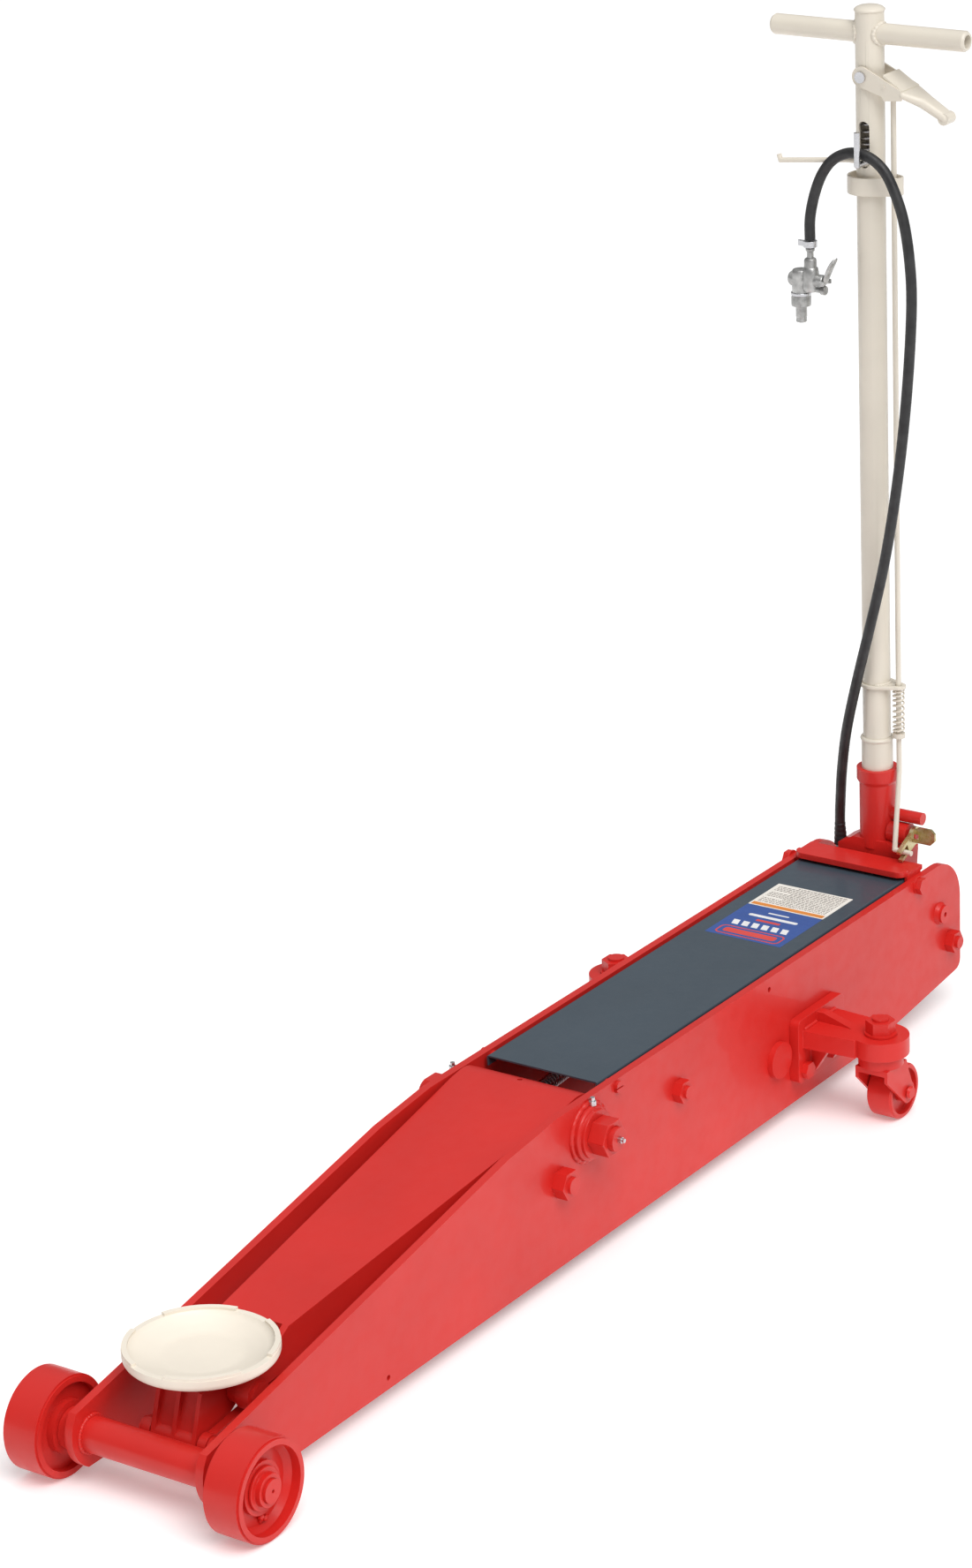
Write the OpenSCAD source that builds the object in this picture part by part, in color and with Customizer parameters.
// Long-chassis air and hydraulic service jack: a frame on two front wheels and two casters,
// a parallelogram lift arm with a saddle, a T-handle with a hand release, and an air hose.
// The saddle end faces -X, the handle end +X, and the floor is Z = 0.

/* [Frame] */
// Distance between the inner faces of the side plates
frame_gap = 154.2; // [153:0.1:156]
// Thickness of each side plate
plate_t = 9.5; // [8:0.5:10]
// Height of the straight top edge of the side plates
frame_top = 194; // [192:1:196]
// Distance from the front axle to the rear end of the side plates
frame_rear = 1464; // [1460:1:1470]
// Length of the blue-grey top cover
cover_len = 688; // [660:1:690]

/* [Lift arm] */
// Diameter of the main pivot shaft
arm_shaft_d = 27; // [24:0.5:28]
// Diameter of the saddle's rim
saddle_d = 159.4; // [150:0.2:162]
// Depth of the saddle's dish
saddle_dish = 14; // [10:1:16]

/* [Wheels] */
// Diameter of the front wheels
front_wheel_d = 108; // [106:1:110]
// Width of the front wheels
front_wheel_w = 44; // [40:1:46]
// Diameter of the caster wheels
caster_wheel_d = 66; // [64:1:67]
// Width of the caster wheels
caster_wheel_w = 32; // [28:1:33]

/* [Handle] */
// Outer diameter of the handle tube
tube_d = 33.4; // [32:0.1:34]
// Height of the top of the handle
handle_top = 1221; // [1215:1:1230]
// Length of the cross grip
grip_len = 252; // [240:1:260]
// Diameter of the cross grip
grip_d = 24; // [22:0.5:25]
// Outer diameter of the air hose
hose_d = 12.5; // [12:0.5:13]

/* [Hidden] */
$fn = 48;

jack_red = "#c81e24";
cream = "#ddd3c4";
off_white = "#efece2";
slate = "#46555f";
steel = "#9a9ca0";
rubber = "#1d1d1f";
zinc = "#b9a35a";

run_gap = 0.05;                      // radial clearance of every running fit
plate_in = frame_gap / 2;            // inner face of a side plate, from the middle
plate_out = plate_in + plate_t;
front_r = front_wheel_d / 2;
x_mid = (frame_rear - front_r) / 2;  // middle of the whole length, from the front axle

// pivots, as [distance behind the front axle, height]
axle_p = [0, front_r];
arm_p = [650, 156];
anchor_p = arm_p + [-55, -37];
saddle_p = [99, 88];
yoke_p = saddle_p + anchor_p - arm_p;
spring_p = [830, 133];
trunnion_p = [1038, 88];
handle_p = [1414, 132];
rear_tie_p = [1438, 88];
side_screw_p = [710, 185];
bridge_screw_p = [1362, 187];

arm_shaft_r = arm_shaft_d / 2;
arm_rear_r = 39;
arm_front_r = 14;
arm_wall = 8;
arm_top_t = 6;
arm_half_front = 41.6;               // half width of the arm at arm_x_front
arm_x_front = 150;
arm_half_rear = 75;                  // half width of the arm at arm_x_rear
arm_x_rear = 628;
anchor_r = 10;
saddle_pin_r = 9;
yoke_pin_r = 8;
rod_y = [30, 40];                    // inner and outer face of a radius rod
yoke_half = 28;
saddle_x = 85.7;
saddle_r = saddle_d / 2;
saddle_rim_z = 138;
saddle_stem_r = 16;

ram_z = trunnion_p[1];
ram_r = 22;
crank_len = 70;
crank_angle = 25;                    // the crank starts this far behind straight down
crank_roller_r = 16;
crank_p = arm_p + crank_len * [sin(crank_angle), -cos(crank_angle)];
ram_head_x = crank_p[0] + crank_roller_r + 0.5;

handle_shaft_r = 11;
pump_crank_len = 30;
pump_crank_angle = 35;
pump_roller_r = 9;
pump_p = handle_p + pump_crank_len * [sin(pump_crank_angle), -cos(pump_crank_angle)];
plunger_z = 105;
plunger_r = 10;
plunger_x = pump_p[0] - pump_roller_r - 0.55;

caster_p = [1112, 180];              // kingpin: behind the front axle, from the middle
caster_trail = 26;
caster_r = caster_wheel_d / 2;
bracket_z = [90, 112];
bracket_bolts = [[1079, 62], [1153, 62]];

tube_x = 1418.6;
tube_r = tube_d / 2;
tube_in_r = tube_r - 3.4;
tube_z0 = 232;
sleeve_r = 18.8;
grip_z = 1190;
grip_pivot_z = 1143;
rod_r = 3.175;
rod_off = 30;                        // release rod, from the handle's axis
cam_p = [1415, 226];
cam_reach = 28;
slot_z = [1037, 1091];
lock_z = 1046;
hose_r = hose_d / 2;
lever_p = [42.5, 902];                // hinge of the air valve's lever, in Y and Z

// ---------- general shapes ----------

module placed() translate([-x_mid, 0, 0]) children();

// both sides of the frame: children drawn at +Y and mirrored to -Y
module both_sides() {
    children();
    mirror([0, 1, 0]) children();
}

// the child's plan, drawn in X and Z, as a plate from y0 to y1
module plate_y(y0, y1) translate([0, y1, 0]) rotate([90, 0, 0]) linear_extrude(y1 - y0) children();

// the child's plan, drawn in Y and Z, as a plate from x0 to x1
module plate_x(x0, x1) translate([x0, 0, 0]) rotate([90, 0, 90]) linear_extrude(x1 - x0) children();

module shaft_y(p, r, y0, y1) translate([p[0], y0, p[1]]) rotate([-90, 0, 0]) cylinder(r = r, h = y1 - y0);

module shaft_x(y, z, r, x0, x1) translate([x0, y, z]) rotate([0, 90, 0]) cylinder(r = r, h = x1 - x0);

module shaft_z(x, y, r, z0, z1) translate([x, y, z0]) cylinder(r = r, h = z1 - z0);

module cone_y(p, r0, r1, y0, y1)
    translate([p[0], y0, p[1]]) rotate([-90, 0, 0]) cylinder(r1 = r0, r2 = r1, h = y1 - y0);

module hex_y(p, flats, y0, y1)
    translate([p[0], y0, p[1]]) rotate([-90, 0, 0]) cylinder(r = flats / sqrt(3), h = y1 - y0, $fn = 6);

function arc(c, r, a0, a1, n) = [for (i = [0 : n]) let (a = a0 + (a1 - a0) * i / n) c + r * [cos(a), sin(a)]];

// the four points where the outer tangents touch two circles
function tangents(p1, r1, p2, r2) =
    let (v = p2 - p1, a = atan2(v[1], v[0]), b = acos((r1 - r2) / norm(v)))
    [p1 + r1 * [cos(a + b), sin(a + b)], p2 + r2 * [cos(a + b), sin(a + b)],
     p2 + r2 * [cos(a - b), sin(a - b)], p1 + r1 * [cos(a - b), sin(a - b)]];

module link_2d(p1, r1, p2, r2) {
    v = p2 - p1;
    a = atan2(v[1], v[0]);
    b = acos((r1 - r2) / norm(v));
    polygon(concat(arc(p1, r1, a + b, a + 360 - b, 24), arc(p2, r2, a - b, a + b, 24)));
}

module rounded_2d(low, high, r) {
    translate(low + [r, 0]) square(high - low - [2 * r, 0]);
    translate(low + [0, r]) square(high - low - [0, 2 * r]);
    for (x = [low[0] + r, high[0] - r], y = [low[1] + r, high[1] - r]) translate([x, y]) circle(r);
}

// a bent round bar through a list of points
module bent_bar(points, r) {
    for (i = [0 : len(points) - 2]) bar(points[i], points[i + 1], r);
    for (i = [1 : len(points) - 2]) translate(points[i]) sphere(r + 0.04);
}

module bar(a, b, r) {
    v = b - a;
    translate(a) rotate([0, acos(v[2] / norm(v)), atan2(v[1], v[0])]) cylinder(r = r, h = norm(v));
}

// ---------- swept tubes and springs ----------

function unit(v) = v / norm(v);

// the direction of a path at point i
function heading(path, i) = unit(path[min(i + 1, len(path) - 1)] - path[max(i - 1, 0)]);

// a direction square to the path's start
function first_side(path) = let (t = heading(path, 0)) unit(cross(t, abs(t[2]) < 0.9 ? [0, 0, 1] : [1, 0, 0]));

// a side direction at every point, carried along the path without twisting
function sides_along(path, i = 1, found = []) =
    let (list = len(found) == 0 ? [first_side(path)] : found)
    i >= len(path) ? list
    : let (t = heading(path, i), s = list[i - 1], n = unit(s - (s * t) * t))
      sides_along(path, i + 1, concat(list, [n]));

module sweep(path, r, sides) {
    n = len(path);
    across = sides_along(path);
    points = [for (i = [0 : n - 1], k = [0 : sides - 1])
        let (t = heading(path, i), u = across[i], v = cross(t, u), a = 360 * k / sides)
        path[i] + r * (cos(a) * u + sin(a) * v)];
    walls = [for (i = [0 : n - 2], k = [0 : sides - 1])
        let (m = (k + 1) % sides)
        [i * sides + m, i * sides + k, (i + 1) * sides + k, (i + 1) * sides + m]];
    first = [for (k = [0 : sides - 1]) k];
    last = [for (k = [sides - 1 : -1 : 0]) (n - 1) * sides + k];
    polyhedron(points, concat(walls, [first], [last]), convexity = 10);
}

// a smooth curve through hand-placed points
function spline_point(p, i, t) =
    let (a = p[max(i - 1, 0)], b = p[i], c = p[i + 1], d = p[min(i + 2, len(p) - 1)])
    0.5 * (2 * b + (c - a) * t + (2 * a - 5 * b + 4 * c - d) * t * t + (3 * b - a - 3 * c + d) * t * t * t);

function spline(p, steps) =
    concat([for (i = [0 : len(p) - 2], j = [0 : steps - 1]) spline_point(p, i, j / steps)], [p[len(p) - 1]]);

function helix(r, length, turns, steps) =
    [for (i = [0 : turns * steps]) [r * cos(360 * i / steps), r * sin(360 * i / steps), length * i / (turns * steps)]];

// a coil spring of round wire, standing on Z = 0
module coil(r, length, turns, wire_r) sweep(helix(r - wire_r, length, turns, 14), wire_r, 6);

// ---------- frame ----------

module frame_outline() {
    rear_r = 55;
    polygon(concat(
        arc([14, 58], 44, 142, 240, 10),
        [[1246, 20]],
        arc([frame_rear - 12, 56], 12, 270, 360, 4),
        arc([frame_rear - rear_r, frame_top - rear_r], rear_r, 0, 90, 10),
        [[592, frame_top], [500, 184]]));
}

module frame_hole(p, r) translate(p) circle(r);

module side_plate_2d() difference() {
    frame_outline();
    frame_hole(axle_p, 12.55);
    frame_hole(arm_p, arm_shaft_r + run_gap);
    frame_hole(anchor_p, anchor_r + run_gap);
    frame_hole(spring_p, 8.05);
    frame_hole(rear_tie_p, 8.05);
    frame_hole(trunnion_p, 21.55);
    frame_hole(handle_p, handle_shaft_r + run_gap);
    frame_hole(side_screw_p, 4.05);
    frame_hole(bridge_screw_p, 6.05);
    frame_hole([1024, 180], 3);
    frame_hole([275, 33], 3);
    for (p = bracket_bolts) frame_hole(p, 6.05);
}

module left_side_plate() color(jack_red) placed() plate_y(-plate_out, -plate_in) side_plate_2d();

module right_side_plate() color(jack_red) placed() plate_y(plate_in, plate_out) side_plate_2d();

module front_axle_tube() color(jack_red) placed() difference() {
    shaft_y(axle_p, 19, -plate_in, plate_in);
    shaft_y(axle_p, 12.55, -plate_in - 1, plate_in + 1);
}

module front_axle() color(jack_red) placed() difference() {
    shaft_y(axle_p, 12.5, -149, 149);
    both_sides() shaft_y(axle_p, 2, 143, 150);
}

// a spacer collar inside each wheel, and the washer and pinned collar that hold it on
module front_wheel_washers() color(jack_red) placed() both_sides() difference() {
    union() {
        shaft_y(axle_p, 22, plate_out, 103.2);
        shaft_y(axle_p, 23, 136.3, 139.5);
        shaft_y(axle_p, 17.5, 139.5, 146);
    }
    shaft_y(axle_p, 12.53, plate_out - 1, 147);
}

module front_wheel() difference() {
    union() {
        difference() {
            shaft_y(axle_p, front_r - 2, 103.5, 147.5);
            shaft_y(axle_p, front_r - 8, 137, 148);
            cone_y(axle_p, front_r - 14, front_r - 8, 131, 137.01);
            shaft_y(axle_p, front_r - 8, 103, 112);
        }
        difference() {
            shaft_y(axle_p, front_r, 105.5, 145.5);
            shaft_y(axle_p, front_r - 4, 105, 146);
        }
        shaft_y(axle_p, 28, 103.5, 136);
    }
    shaft_y(axle_p, 12.5 + run_gap, 103, 148);
}

module left_front_wheel() color(jack_red) placed() mirror([0, 1, 0]) front_wheel();

module right_front_wheel() color(jack_red) placed() front_wheel();

module rear_bridge() color(jack_red) placed() {
    front = 1348;
    rear = 1390;
    low = frame_top + 2;
    difference() {
        union() {
            translate([front + 6, -plate_in, low]) cube([rear - front - 6, 2 * plate_in, 6]);
            translate([0, 0, low + 2]) linear_extrude(7.5) intersection() {
                rounded_2d([front - 4, -plate_in + 1.5], [front + 30, plate_in - 1.5], 12);
                translate([front - 5, -100]) square([16, 200]);
            }
            both_sides() translate([front + 6, 72.9, 177]) cube([rear - front - 10, plate_in - 72.9, low - 177]);
        }
        both_sides() shaft_y(bridge_screw_p, 6.05, 70, 80);
    }
}

// a shallow inverted tray between the side plates
module top_cover() color(slate) placed() {
    front = 692;
    half = 72.4;
    sheet = 2;
    top = frame_top - 0.2;
    difference() {
        plate_x(front, front + cover_len) difference() {
            rounded_2d([-half, top - 14], [half, top], 2.5);
            translate([-half + sheet, top - 20]) square([2 * (half - sheet), 20 - sheet]);
            translate([-half - 1, top - 20]) square([2 * half + 2, 8]);
        }
        both_sides() shaft_y(side_screw_p, 4.05, 65, 80);
        both_sides() shaft_y(bridge_screw_p, 6.05, 65, 72.6);
    }
}

// slotted screws at the front and hexagon screws at the rear hold the cover and the bridge
module cover_screws() color(jack_red) placed() both_sides() {
    shaft_y(side_screw_p, 4, 68, plate_out);
    difference() {
        shaft_y(side_screw_p, 7, plate_out, plate_out + 4);
        translate([side_screw_p[0] - 8, plate_out + 2, side_screw_p[1] - 0.8]) cube([16, 3, 1.6]);
    }
    difference() {
        shaft_y(side_screw_p, 6, 72.4, plate_in);
        shaft_y(side_screw_p, 4, 72, 78);
    }
    shaft_y(bridge_screw_p, 6, 68, plate_out);
    shaft_y(bridge_screw_p, 11, plate_out, plate_out + 2);
    hex_y(bridge_screw_p, 18, plate_out + 2, plate_out + 9);
}

module arm_pivot_shaft() color(steel) placed() shaft_y(arm_p, arm_shaft_r, -127, 127);

// round welded bosses and washers where the main pivot passes the side plates
module pivot_bosses() color(jack_red) placed() both_sides() difference() {
    union() {
        shaft_y(arm_p, 31, plate_out, plate_out + 7);
        cone_y(arm_p, 31, 29, plate_out + 7, plate_out + 9);
        shaft_y(arm_p, 27.5, plate_out + 9, plate_out + 13.5);
    }
    shaft_y(arm_p, arm_shaft_r + run_gap, plate_out - 1, plate_out + 14);
}

module pivot_nuts() color(jack_red) placed() both_sides() difference() {
    hex_y(arm_p, 38, plate_out + 13.5, plate_out + 34);
    shaft_y(arm_p, arm_shaft_r + run_gap, plate_out + 13, plate_out + 35);
}

// greasing points on the ends of the main pivot and above its bosses
module grease_nipples() color(steel) placed() both_sides() {
    shaft_y(arm_p, 3.5, 127, 131);
    shaft_y(arm_p, 2.4, 131, 134);
    lug = arm_p + [4, 35.6];
    translate([lug[0], plate_out + 5, lug[1] - 4.6]) cylinder(r = 4, h = 5);
    translate([lug[0], plate_out + 5, lug[1] + 0.4]) cylinder(r = 2.6, h = 4);
}

module rod_anchor_bolt() color(jack_red) placed() {
    shaft_y(anchor_p, anchor_r, -plate_out, plate_out);
    both_sides() {
        hex_y(anchor_p, 30, plate_out, plate_out + 15);
        shaft_y(anchor_p, anchor_r - 0.5, plate_out + 15, plate_out + 19);
        difference() {
            shaft_y(anchor_p, 12, rod_y[1] + 0.3, plate_in);
            shaft_y(anchor_p, anchor_r, rod_y[1], plate_in + 1);
        }
    }
}

module frame_tie_bolts() color(jack_red) placed() {
    for (p = [spring_p, rear_tie_p]) {
        shaft_y(p, 8, -plate_out, plate_out);
        both_sides() {
            hex_y(p, 24, plate_out, plate_out + 11);
            shaft_y(p, 7.5, plate_out + 11, plate_out + 15);
        }
    }
}

module handle_pivot_shaft() color(jack_red) placed() difference() {
    union() {
        shaft_y(handle_p, handle_shaft_r, -plate_out - 8, plate_out + 8);
        both_sides() cone_y(handle_p, 14, 12, plate_out, plate_out + 5);
    }
    both_sides() shaft_y(handle_p, 3, plate_out + 3, plate_out + 9);
}

// ---------- hydraulic unit ----------

cylinder_x = [846, 1180];
reservoir_x = [870, 1180];
block_x = [1180, 1330];

// oil tank around the cylinder, with the trunnions that carry it in the side plates
module reservoir_tube() color(jack_red) placed() difference() {
    union() {
        shaft_x(0, ram_z, 52, reservoir_x[0], reservoir_x[1]);
        shaft_y(trunnion_p, 21.5, -plate_out - 7, plate_out + 7);
    }
    shaft_x(0, ram_z, 48, reservoir_x[0] + 5, reservoir_x[1] + 1);
    shaft_x(0, ram_z, 32.05, reservoir_x[0] - 1, reservoir_x[1] + 1);
}

module hydraulic_cylinder() color(steel) placed() difference() {
    union() {
        shaft_x(0, ram_z, 32, reservoir_x[0], cylinder_x[1]);
        shaft_x(0, ram_z, 40, cylinder_x[0], reservoir_x[0]);
    }
    shaft_x(0, ram_z, ram_r + run_gap, cylinder_x[0] - 1, cylinder_x[1]);
    shaft_x(0, ram_z, 25.05, reservoir_x[0] + 5, cylinder_x[1] + 1);
}

module ram() color(steel) placed() {
    shaft_x(0, ram_z, ram_r, ram_head_x, 1000);
    difference() {
        shaft_x(0, ram_z, 25, 985, 1000);
        shaft_x(0, ram_z, ram_r, 984, 1001);
    }
}

module pump_block() color(jack_red) placed() difference() {
    translate([block_x[0], -52, 36]) cube([block_x[1] - block_x[0], 104, 104]);
    shaft_x(0, plunger_z, plunger_r + run_gap, 1225, block_x[1] + 1);
}

// spring-returned air piston housing beside the plunger, with its feed elbow
module air_motor() color(steel) placed() {
    shaft_x(32, 68, 20, block_x[1], 1352);
    shaft_x(32, 68, 24, 1352, 1380);
    translate([1366, 32, 91]) cylinder(r = 7, h = 12);
}

module return_springs() color(steel) placed() both_sides() {
    wire = 1.6;
    translate([708, 52, arm_p[1] - 30]) rotate([0, 86.6, 0]) coil(9, 112, 12, wire);
}

module pump_plunger() color(steel) placed() shaft_x(0, plunger_z, plunger_r, 1262, plunger_x);

// ---------- casters ----------

module caster_bracket() difference() {
    union() {
        plate_y(plate_out, plate_out + 12.4) rounded_2d([1065, 47], [1167, 126], 8);
        translate([0, 0, bracket_z[0]]) linear_extrude(bracket_z[1] - bracket_z[0]) difference() {
            union() {
                translate(caster_p) circle(33);
                polygon([[1074, 90], [1150, 90], [1145, 165], [1079, 165]]);
            }
            translate([1000, 0]) square([200, plate_out + 12.4]);
        }
        plate_x(1106, 1118) polygon([[99, 112], [99, 124], [108, 124], [146, 112]]);
        for (x = [1092, 1132]) plate_x(x, x + 8) polygon([[99, 90], [99, 56], [104, 56], [125, 90]]);
    }
    shaft_z(caster_p[0], caster_p[1], 10 + run_gap, 80, 120);
    for (p = bracket_bolts) shaft_y(p, 6.05, 80, 110);
}

module left_caster_bracket() color(jack_red) placed() mirror([0, 1, 0]) caster_bracket();

module right_caster_bracket() color(jack_red) placed() caster_bracket();

module caster_bracket_bolts() color(jack_red) placed() both_sides() {
    for (p = bracket_bolts) {
        shaft_y(p, 6, 65, plate_out + 12.4);
        hex_y(p, 18, plate_out + 12.4, plate_out + 20);
        difference() {
            hex_y(p, 18, 68, plate_in);
            shaft_y(p, 6, 67, plate_in + 1);
        }
    }
}

// two legs from a round crown, with the kingpin; the axle trails behind the kingpin
module caster_fork() difference() {
    union() {
        shaft_z(caster_p[0], caster_p[1], 26, 76, 89.7);
        shaft_z(caster_p[0], caster_p[1], 10, 89, 113);
        translate([0, 0, 69]) linear_extrude(7) translate(caster_p - [22, 21]) square([44, 42]);
        for (side = [-1, 1])
            plate_y(caster_p[1] + side * 19 - 2, caster_p[1] + side * 19 + 2) caster_leg_2d();
    }
    shaft_y([caster_p[0] + caster_trail, caster_r], 6.02, caster_p[1] - 30, caster_p[1] + 30);
}

module caster_leg_2d() {
    axle = [caster_p[0] + caster_trail, caster_r];
    translate(axle) circle(13);
    polygon([[caster_p[0] - 22, 76], [caster_p[0] - 22, 62], axle + 13 * [cos(225), sin(225)],
             axle + 13 * [cos(-5), sin(-5)], [caster_p[0] + 27, 60], [caster_p[0] + 22, 76]]);
}

module left_caster_fork() color(jack_red) placed() mirror([0, 1, 0]) caster_fork();

module right_caster_fork() color(jack_red) placed() caster_fork();

// kingpin nut with its washer, and the wheel's riveted axle
module caster_fasteners() {
    axle = [caster_p[0] + caster_trail, caster_r];
    difference() {
        union() {
            shaft_z(caster_p[0], caster_p[1], 19, 112.3, 115);
            translate([caster_p[0], caster_p[1], 115]) cylinder(r = 30 / sqrt(3), h = 14, $fn = 6);
            shaft_z(caster_p[0], caster_p[1], 9.5, 129, 132);
        }
        shaft_z(caster_p[0], caster_p[1], 10.02, 112, 113.02);
    }
    shaft_y(axle, 6, caster_p[1] - 23, caster_p[1] + 23);
    cone_y(axle, 8, 6.5, caster_p[1] + 23, caster_p[1] + 26);
    cone_y(axle, 6.5, 8, caster_p[1] - 26, caster_p[1] - 23);
}

module left_caster_fasteners() color(jack_red) placed() mirror([0, 1, 0]) caster_fasteners();

module right_caster_fasteners() color(jack_red) placed() caster_fasteners();

module caster_wheel() difference() {
    axle = [caster_p[0] + caster_trail, caster_r];
    half = caster_wheel_w / 2;
    union() {
        shaft_y(axle, caster_r - 1.5, caster_p[1] - half, caster_p[1] + half);
        shaft_y(axle, caster_r, caster_p[1] - half + 1.5, caster_p[1] + half - 1.5);
    }
    for (side = [-1, 1]) difference() {
        shaft_y(axle, caster_r - 6, caster_p[1] + side * 16 - 7, caster_p[1] + side * 16 + 7);
        shaft_y(axle, 12, caster_p[1] - 30, caster_p[1] + 30);
    }
    shaft_y(axle, 6 + run_gap, caster_p[1] - 30, caster_p[1] + 30);
}

module left_caster_wheel() color(jack_red) placed() mirror([0, 1, 0]) caster_wheel();

module right_caster_wheel() color(jack_red) placed() caster_wheel();

// ---------- lift arm ----------

top_front = [172, 127.5];            // where the arm's top plate ends, behind the saddle

module arm_side_2d() polygon(concat(
    arc(arm_p, arm_rear_r, -146.7, 98, 36), [top_front, [136, 103]], arc(saddle_p, arm_front_r, 90, 277, 20)));

// the channel's hollow, seen from the side: open below
module arm_hollow_2d() polygon(concat(
    arc(arm_p, arm_rear_r - arm_top_t, 0, 98, 14),
    [top_front - [0, arm_top_t], [60, 111], [60, 0], [arm_p[0] + arm_rear_r - arm_top_t, 0]]));

function arm_half(x) =
    arm_half_front + (arm_half_rear - arm_half_front) * (x - arm_x_front) / (arm_x_rear - arm_x_front);

module arm_plan_2d(inset) {
    rear = 700;
    polygon([[60, -arm_half(60) + inset], [arm_x_rear, -arm_half_rear + inset], [rear, -arm_half_rear + inset],
             [rear, arm_half_rear - inset], [arm_x_rear, arm_half_rear - inset], [60, arm_half(60) - inset]]);
}

// a tapered channel, open below and in front, with pivot bores in its cheeks
module lift_arm() color(jack_red) placed() difference() {
    union() {
        difference() {
            intersection() {
                plate_y(-80, 80) arm_side_2d();
                linear_extrude(260) arm_plan_2d(0);
            }
            intersection() {
                plate_y(-80, 80) arm_hollow_2d();
                linear_extrude(260) arm_plan_2d(arm_wall);
            }
            intersection() {
                translate([60, -80, 60]) cube([top_front[0] - 60, 160, 80]);
                linear_extrude(260) arm_plan_2d(arm_wall);
            }
        }
        both_sides() {
            shaft_y(saddle_p, 15, 36, 42);
            shaft_y(saddle_p, 17.5, 42, 58);
        }
    }
    shaft_y(arm_p, 27.05, -80, 80);
    both_sides() translate([arm_p[0] + 26, 47, 96]) cube([20, 10, arm_p[1] - 96]);
    shaft_y(saddle_p, saddle_pin_r + 0.02, -60, 60);
    shaft_z(arm_p[0] + 6, 4, 3, 180, 200);
}

// cross tube that turns on the main pivot, with the crank lugs that the ram pushes
module arm_hub() color(jack_red) placed() difference() {
    union() {
        shaft_y(arm_p, 27, -arm_half_rear, arm_half_rear);
        both_sides() plate_y(16, 26) link_2d(arm_p, 12, crank_p, 9.5);
        both_sides() plate_y(48, 56) link_2d(arm_p, 20, arm_p + [42, -28], 7);
    }
    shaft_y(arm_p, arm_shaft_r + run_gap, -80, 80);
    shaft_y(crank_p, 6.02, -30, 30);
}

module ram_roller() color(steel) placed() {
    shaft_y(crank_p, crank_roller_r, -15.7, 15.7);
    shaft_y(crank_p, 6, -29, 29);
}

module saddle_pin() color(steel) placed() {
    shaft_y(saddle_p, saddle_pin_r, -58, 58);
    both_sides() shaft_y(saddle_p, 13, 58, 61);
}

module radius_rod() difference() {
    union() {
        plate_y(rod_y[0], rod_y[1]) polygon(tangents(anchor_p, 10, yoke_p, 10));
        shaft_y(anchor_p, 16, rod_y[0], rod_y[1]);
        shaft_y(yoke_p, 13, rod_y[0], rod_y[1]);
    }
    shaft_y(anchor_p, anchor_r + run_gap, 20, 50);
    shaft_y(yoke_p, yoke_pin_r + run_gap, 20, 50);
}

module left_radius_rod() color(jack_red) placed() mirror([0, 1, 0]) radius_rod();

module right_radius_rod() color(jack_red) placed() radius_rod();

// cast block that keeps the saddle level, with corner ribs and a round head
module saddle_yoke() color(jack_red) placed() difference() {
    union() {
        plate_y(-yoke_half, yoke_half) {
            polygon([[55, 104], [119, 104], [113, 78], yoke_p + [5, -12], yoke_p + [-12, -5]]);
            translate(yoke_p) circle(13);
        }
        for (y = [-yoke_half, -2.5, yoke_half - 5]) {
            plate_y(y, y + 5) polygon([[48, 104], [60, 103], [44, 50], [31.4, 54]]);
            plate_y(y, y + 5) polygon([[110, 103], [124, 104], [119, 84], [100, 72]]);
        }
        shaft_z(saddle_x, 0, 40.5, 104, 112);
    }
    shaft_y(yoke_p, yoke_pin_r + run_gap, -40, 40);
    shaft_y(saddle_p, saddle_pin_r + run_gap, -40, 40);
    shaft_z(saddle_x, 0, saddle_stem_r + run_gap, 99.5, 113);
}

module yoke_pin() color(steel) placed() {
    shaft_y(yoke_p, yoke_pin_r, -41, 41);
    both_sides() shaft_y(yoke_p, 11, 40.6, 44);
}

// dished cup with four raised lips round its rim
module saddle() color(off_white) placed() {
    lip = 3;
    floor_z = saddle_rim_z - saddle_dish;
    band = saddle_rim_z - lip;
    translate([saddle_x, 0, 0]) rotate_extrude($fn = 96) polygon(concat(
        [[0, 112.3], [44, 112.3], [58, 116.5], [72, 122]],
        arc([saddle_r - 7, 129], 7, -70, 0, 4),
        [[saddle_r, band], [saddle_r - 6.5, band], [saddle_r - 9, band - 3], [58, floor_z + 3.5],
         [46, floor_z + 0.6], [40, floor_z], [0, floor_z]]));
    translate([saddle_x, 0, band - 1]) linear_extrude(lip + 1) for (a = [10 : 90 : 280])
        rotate(a) polygon(concat(arc([0, 0], saddle_r - 0.4, 0, 58, 8), arc([0, 0], saddle_r - 6, 58, 0, 8)));
    shaft_z(saddle_x, 0, saddle_stem_r, 100, 113);
}

// ---------- handle ----------

// cast socket on the handle pivot: split hub, cheeks, foot and round socket for the tube
module handle_socket() color(jack_red) placed() difference() {
    union() {
        both_sides() {
            shaft_y(handle_p, 18, 8, 44);
            plate_y(34, 44) polygon([[1398, 140], [1430, 140], [1438, 200], [1398, 200]]);
            plate_y(11.5, 19.5) link_2d(handle_p, 15, pump_p, 10);
        }
        plate_x(1398, 1438) polygon([[-44, 198], [44, 198], [44, 205], [24, 216], [-24, 216], [-44, 205]]);
        shaft_z(tube_x, 0, 22, 205, 290);
        shaft_z(tube_x, 0, 25, 290, 304);
        translate([tube_x, 0, 284]) cylinder(r1 = 22, r2 = 25, h = 6);
    }
    shaft_y(handle_p, handle_shaft_r + run_gap, -60, 60);
    shaft_y(pump_p, 4.02, -30, 30);
    shaft_z(tube_x, 0, sleeve_r + 0.02, tube_z0, 310);
    shaft_z(tube_x, 0, 7.1, 190, 240);
}

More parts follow.
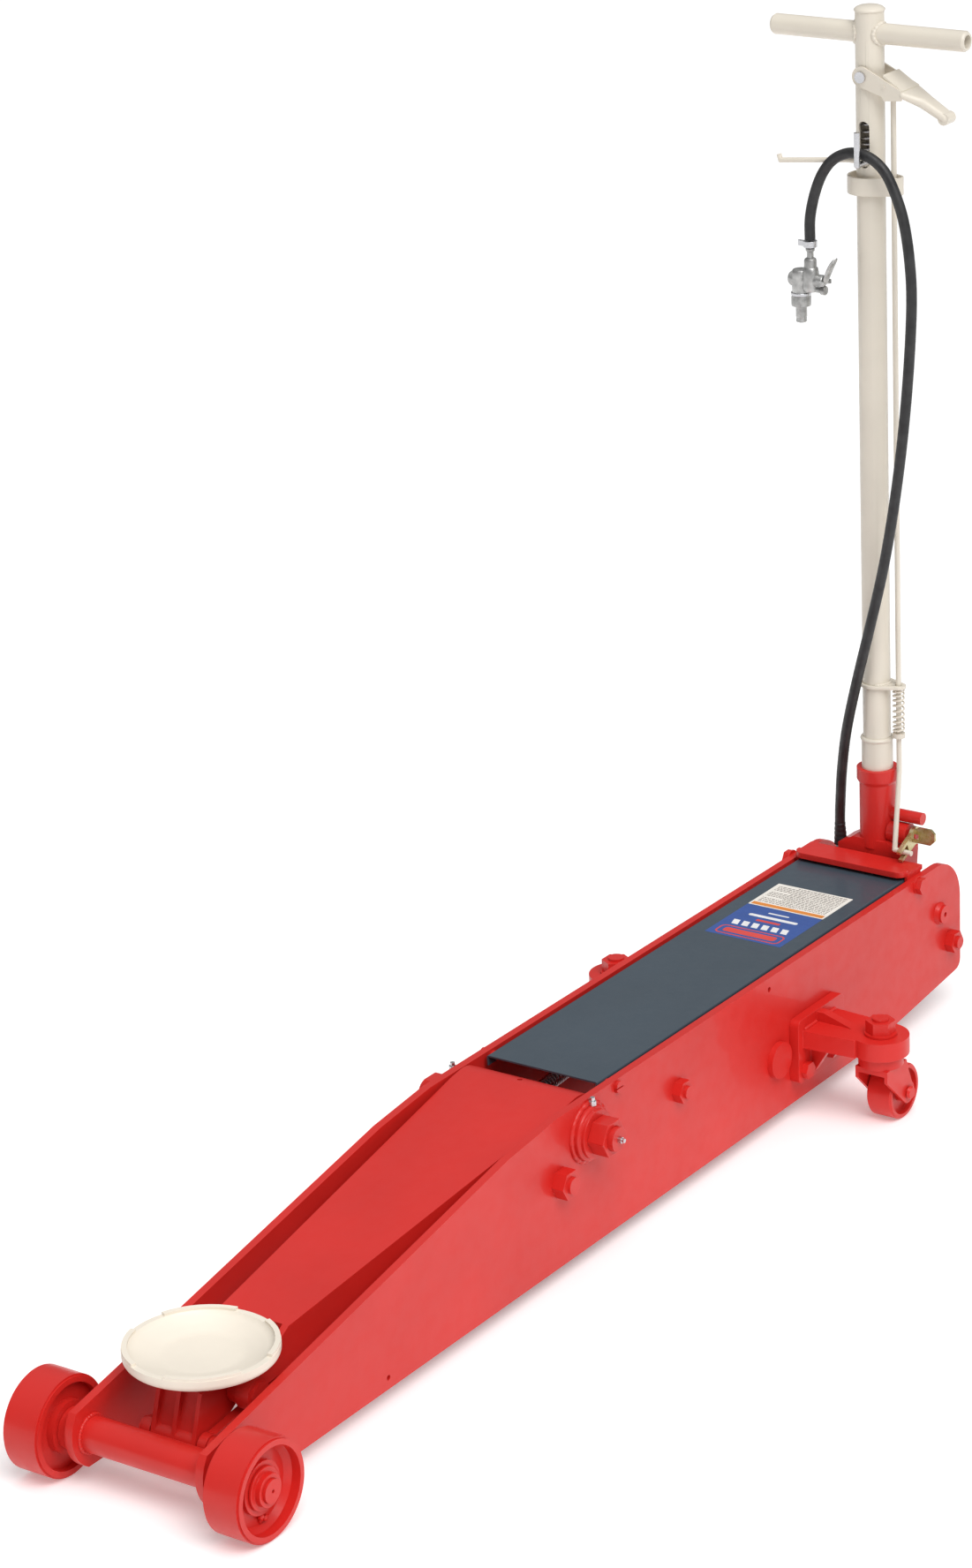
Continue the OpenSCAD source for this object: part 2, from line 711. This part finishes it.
module pump_roller() color(steel) placed() {
    shaft_y(pump_p, pump_roller_r, -11.2, 11.2);
    shaft_y(pump_p, 4, -22, 22);
}

// tube with a domed cap, a slot in front, and a welded sleeve with its bead at the bottom
module handle_tube() color(cream) placed() {
    sleeve_top = 341;
    difference() {
        union() {
            shaft_z(tube_x, 0, tube_r, tube_z0, handle_top - 5);
            translate([tube_x, 0, handle_top - 5]) cylinder(r1 = tube_r, r2 = tube_r - 2, h = 2);
            translate([tube_x, 0, handle_top - 3]) cylinder(r1 = tube_r - 2, r2 = tube_r - 8, h = 3);
            shaft_z(tube_x, 0, sleeve_r, tube_z0, sleeve_top);
            translate([tube_x, 0, sleeve_top]) rotate_extrude() translate([sleeve_r - 1.2, 0]) circle(2.6);
        }
        shaft_z(tube_x, 0, tube_in_r, tube_z0 - 1, handle_top - 7);
        translate([tube_x - 30, 0, 0]) plate_x(0, 28) rounded_2d([-7, slot_z[0]], [7, slot_z[1]], 6.9);
        shaft_y([tube_x, grip_z], grip_d / 2 + 0.02, -30, 30);
        shaft_x(0, grip_pivot_z, 4.05, tube_x - 30, tube_x + 30);
    }
}

module grip_bar() color(cream) placed() difference() {
    half = grip_len / 2;
    union() {
        shaft_y([tube_x, grip_z], grip_d / 2, -half + 3, half - 3);
        both_sides() cone_y([tube_x, grip_z], grip_d / 2, grip_d / 2 - 2, half - 3, half);
    }
    both_sides() shaft_y([tube_x, grip_z], grip_d / 2 - 4.5, 20, half + 1);
}

// band round the tube and the release rod near the top, and the lower bracket above the spring
module rod_guides() color(cream) placed() {
    translate([tube_x, 0, 1006]) linear_extrude(21) difference() {
        link_2d([0, 3], 25, [0, -rod_off], 11);
        link_2d([0, 3], 22.2, [0, -rod_off], 8.2);
    }
    translate([tube_x, 0, 1012]) linear_extrude(9) difference() {
        translate([-2, tube_r - 1]) square([4, 10]);
        circle(tube_r + 0.01);
    }
    translate([tube_x, 0, 408]) linear_extrude(4) difference() {
        link_2d([0, 0], tube_r + 4, [0, -rod_off], 9);
        circle(tube_r + 0.02);
        translate([0, -rod_off]) circle(rod_r + 0.6);
    }
}

// hook on the front of the tube that the spare hose hangs on
module hose_hook() color(off_white) placed() difference() {
    bent_bar([[1405, -6, 1046], [1377, -6, 1046], [1377, -6, 1084]], 3.5);
    shaft_z(tube_x, 0, tube_r + 0.02, 1000, 1100);
}

// release valve's housing and the stop peg on the side of the socket
module release_valve() color(jack_red) placed() difference() {
    union() {
        shaft_y(cam_p, 13, -46, -20);
        shaft_y(cam_p, 5, -56, -45);
        shaft_y([tube_x, 247], 7.5, -62, -20);
    }
    shaft_z(tube_x, 0, 22.02, 190, 300);
    translate([tube_x - 25, -50, 200]) cube([50, 50, 16.05]);
}

module grip_pivot_bolt() color(steel) placed() {
    shaft_x(0, grip_pivot_z, 4, tube_x - 21.5, tube_x + 21.5);
    shaft_x(0, grip_pivot_z, 6.5, tube_x - 24.5, tube_x - 21.5);
    translate([tube_x + 21.5, 0, grip_pivot_z]) rotate([0, 90, 0]) cylinder(r = 13 / sqrt(3), h = 6, $fn = 6);
}

// hand lever: two cheeks astride the tube, a web over them and a tapering grip
module release_grip() color(cream) placed() {
    link_p = [-29, grip_pivot_z - 9];
    difference() {
        union() {
            for (x = [-21, 18.4]) plate_x(tube_x + x, tube_x + x + 2.6) {
                link_2d([0, grip_pivot_z], 11.7, [-38, 1128], 8);
                polygon([[-6, grip_pivot_z + 10], [-52, 1131], [-52, 1120], [-30, 1118]]);
            }
            plate_x(tube_x - 18.4, tube_x + 18.4)
                polygon([[-27, grip_pivot_z + 4.3], [-27, grip_pivot_z + 1.8], [-52, 1128.5], [-52, 1131]]);
        }
        shaft_x(0, grip_pivot_z, 4.05, tube_x - 40, tube_x + 40);
        shaft_x(link_p[0], link_p[1], 2.22, tube_x - 40, tube_x + 40);
    }
    shaft_x(link_p[0], link_p[1], 2.2, tube_x - 22, tube_x + 22);
    hull() {
        for (x = [-18, 18]) translate([tube_x + x, -52.5, 1126]) sphere(4, $fn = 24);
        for (x = [-7, 7]) translate([tube_x + x, -72, 1117]) sphere(6, $fn = 24);
    }
    hull() {
        for (x = [-7, 7]) translate([tube_x + x, -72, 1117]) sphere(6, $fn = 24);
        for (x = [-5, 5]) translate([tube_x + x, -99, 1102]) sphere(5.5, $fn = 24);
    }
    translate([tube_x, -99, 1101]) rotate([0, 90, 0]) cylinder(r = 7, h = 17, center = true);
}

// long rod from the hand lever down to the release cam, with an eye on top and a hook below
module release_rod() color(cream) placed() {
    top = grip_pivot_z - 9;
    plate_x(tube_x - 2.5, tube_x + 2.5) difference() {
        translate([-29, top]) circle(6.6);
        translate([-29, top]) circle(4.3);
    }
    bent_bar([[tube_x, -rod_off, top - 5.4], [tube_x, -rod_off, 302], [1389, -40, 214],
              [1387, -64, 214]], rod_r);
    difference() {
        shaft_z(tube_x, -rod_off, 7.5, 346, 351.5);
        shaft_z(tube_x, -rod_off, rod_r, 345, 352);
    }
}

module release_spring() color(steel) placed()
    translate([tube_x, -rod_off, 353]) coil(7.5, 53.5, 9, 1);

// forked lever on the valve that the rod's hook turns, with a bent finger tab
module release_cam() color(zinc) placed() difference() {
    arm = [-cam_reach, 214 - cam_p[1]];
    slant = unit(arm);
    across = [-slant[1], slant[0]];
    union() {
        plate_y(-55, -50) {
            translate(cam_p) circle(11);
            polygon([cam_p + 9 * across, cam_p + 40 * slant + 8 * across,
                     cam_p + 40 * slant - 8 * across, cam_p - 9 * across]);
        }
        plate_x(cam_p[0] - 4, cam_p[0] - 0.5)
            polygon([[-52, cam_p[1] - 8], [-76, cam_p[1] - 8], [-82, cam_p[1] - 2], [-82, cam_p[1] + 7],
                     [-77, cam_p[1] + 12], [-60, cam_p[1] + 12], [-55, cam_p[1] + 9], [-52, cam_p[1] + 9]]);
    }
    shaft_y(cam_p, 5 + run_gap, -60, -40);
    plate_y(-60, -45) polygon([cam_p + 22 * slant + 4.4 * across, cam_p + 42 * slant + 4.4 * across,
                               cam_p + 42 * slant - 4.4 * across, cam_p + 22 * slant - 4.4 * across]);
}

// slider and rod inside the tube that lock the handle, lifted by the bar out of the slot
module lock_rod() color(cream) placed() {
    shaft_z(tube_x, 0, tube_in_r - 0.6, lock_z - 8, lock_z + 6);
    shaft_z(tube_x, 0, 5, 240, lock_z - 8);
    shaft_z(tube_x, 0, 7, 152, 240);
    bent_bar([[tube_x, 3, lock_z], [1398, 3, lock_z], [1398, 20, lock_z], [1398, 108, lock_z - 9],
              [1398, 110, lock_z - 2]], 3);
}

module lock_spring() color(steel) placed()
    translate([tube_x, 0, lock_z + 8]) coil(11, 82, 11, 1.1);

// ---------- air hose ----------

// route of the hose: up from the gland, past the handle, over the hook and down to the air valve
hose_route = [[1418, 52, 194.5], [1417.5, 52.5, 222], [1415, 50, 252], [1407, 42, 300], [1396, 28, 356], [1388, 8, 424],
              [1385, -12, 494], [1384, -31, 568], [1383, -47, 648], [1383, -59, 730], [1384, -67, 812],
              [1385, -71, 890], [1386, -68, 942], [1387, -59, 990], [1388, -43, 1028], [1388, -28.6, 1046.3],
              [1388, -8.8, 1056.3], [1388, 12.8, 1056.3], [1388, 32.6, 1046.3], [1387.5, 47, 1028], [1387, 57, 1003],
              [1386, 62.5, 976], [1386, 63, 951]];

module air_hose() color(rubber) placed() sweep(spline(hose_route, 4), hose_r, 12);

// hand valve on the hose's free end: clamp, neck, body with the outlet beside it, and the air inlet
module air_valve() color(steel) placed() {
    x = 1386;
    shaft_z(x, 63, 8.5, 940, 950.9);
    translate([x - 2.5, 70, 941]) cube([5, 9, 7]);
    shaft_z(x, 63, 4, 929, 941);
    translate([x, 63, 914]) cylinder(r1 = 10, r2 = 5.5, h = 16);
    shaft_z(x, 63, 10, 893, 914.5);
    shaft_z(x, 76, 10.5, 884, 915);
    shaft_z(x, 76, 11.6, 871, 886);
    shaft_z(x, 76, 6.6, 864, 871.5);
    shaft_z(x, 76, 5.5, 852, 864.5);
    shaft_y([x, 903], 7.5, 46, 62);
    shaft_y([x, 893], 5.5, 42, 60);
    shaft_x(lever_p[0], lever_p[1], 1.6, x - 9, x + 9);
    for (side = [-1, 1]) plate_x(x + side * 8.2 - 0.9, x + side * 8.2 + 0.9) {
        translate(lever_p) circle(3.4);
        translate([lever_p[0], lever_p[1] - 3.4]) square([8, 6.8]);
    }
}

// thumb lever that opens the air valve
module air_valve_lever() color(steel) placed() difference() {
    plate_x(1379, 1393)
        polygon(concat(arc(lever_p, 3.3, 120, 420, 24), [[35, 924], [29, 933], [26, 931]]));
    shaft_x(lever_p[0], lever_p[1], 1.6 + run_gap, 1370, 1400);
}

// short threaded stub on a tab of the right side plate that the hose screws into
module hose_gland() color(steel) placed() {
    shaft_z(1418, 52, 6.4, 178, 191);
    translate([1418, 52, 180]) cylinder(r = 13 / sqrt(3), h = 8, $fn = 6);
    translate([1404, 44.5, 174]) cube([28, plate_in - 44.5, 4]);
}

left_side_plate();
right_side_plate();
front_axle_tube();
front_axle();
front_wheel_washers();
rear_bridge();
top_cover();
cover_screws();
arm_pivot_shaft();
pivot_bosses();
pivot_nuts();
grease_nipples();
rod_anchor_bolt();
frame_tie_bolts();
handle_pivot_shaft();
reservoir_tube();
hydraulic_cylinder();
pump_block();
air_motor();
return_springs();
left_caster_bracket();
right_caster_bracket();
caster_bracket_bolts();
hose_gland();
lift_arm();
arm_hub();
ram_roller();
saddle_pin();
left_radius_rod();
right_radius_rod();
saddle_yoke();
yoke_pin();
saddle();
ram();
left_front_wheel();
right_front_wheel();
left_caster_fork();
right_caster_fork();
left_caster_fasteners();
right_caster_fasteners();
left_caster_wheel();
right_caster_wheel();
pump_plunger();
handle_socket();
pump_roller();
handle_tube();
grip_bar();
rod_guides();
hose_hook();
release_valve();
grip_pivot_bolt();
release_grip();
release_rod();
release_spring();
release_cam();
lock_rod();
lock_spring();
air_hose();
air_valve();
air_valve_lever();
